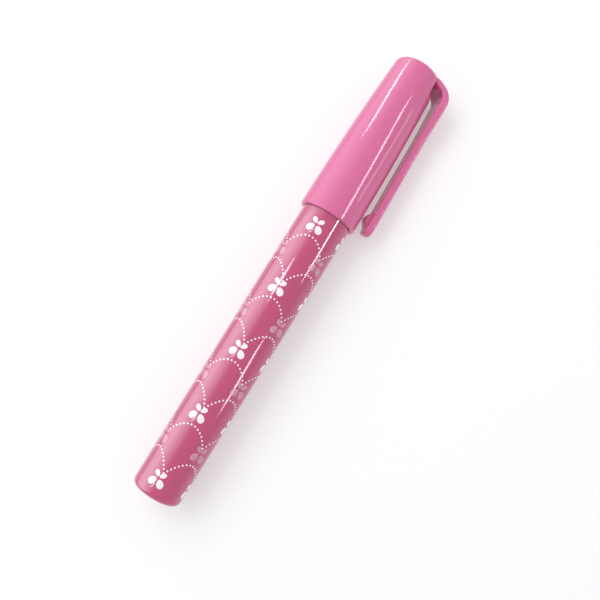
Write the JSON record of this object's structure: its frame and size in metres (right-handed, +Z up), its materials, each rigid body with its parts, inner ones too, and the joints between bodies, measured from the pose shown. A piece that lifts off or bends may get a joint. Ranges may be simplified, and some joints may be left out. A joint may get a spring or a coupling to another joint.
{
  "type": "fabric marking pen",
  "caption": "Capped twist-up fabric glue pen: tapered glossy barrel, bowed cap with a flared pocket clip, and a screw-fed refill inside.",
  "frame": {"origin": "on the pen's axis, at the barrel's front face, where the cap closes against the barrel", "axes": "+X along the pen's axis towards the top of the cap, +Z up with the pen lying on a table, clip on the -Y side"},
  "size_m": [0.1334, 0.0205, 0.0162],
  "materials": {
    "barrel_plastic": "gloss",
    "cap_plastic": "gloss",
    "collar_plastic": "satin",
    "liner_plastic": "satin",
    "refill_plastic": "satin, slightly translucent",
    "drive_plastic": "satin",
    "glue": "waxy"
  },
  "bodies": {
    "barrel": {"barrel_tube": "barrel_plastic", "front_collar": "collar_plastic", "drive_post": "drive_plastic", "drive_screw": "drive_plastic"},
    "refill": {"refill_tube": "refill_plastic", "refill_tail_ring": "refill_plastic"},
    "glue": {"piston": "drive_plastic", "glue_stick": "glue"},
    "cap": {"cap_shell": "cap_plastic", "inner_cap": "liner_plastic"},
    "clip": {"pocket_clip": "cap_plastic"}
  },
  "joints": [
    {"name": "cap_pull", "type": "slide", "parent": "barrel", "child": "cap", "axis": [1, 0, 0], "range_m": [0, 0.06]},
    {"name": "clip_flex", "type": "hinge", "parent": "cap", "child": "clip", "pos_m": [0.04788, -0.00442, -0.00161], "axis": [0, -0.342, 0.9397], "range_deg": [0, 2.5], "stiffness_Nm_per_rad": 2.7},
    {"name": "refill_twist", "type": "hinge", "parent": "barrel", "child": "refill", "pos_m": [0, 0, 0], "axis": [1, 0, 0], "range_deg": [0, 2040]},
    {"name": "glue_advance", "type": "slide", "parent": "refill", "child": "glue", "axis": [1, 0, 0], "range_m": [0, 0.017]}
  ],
  "couplings": [
    {"joint": "refill_twist", "follows": "glue_advance", "rad_per_m": 2094.4}
  ]
}
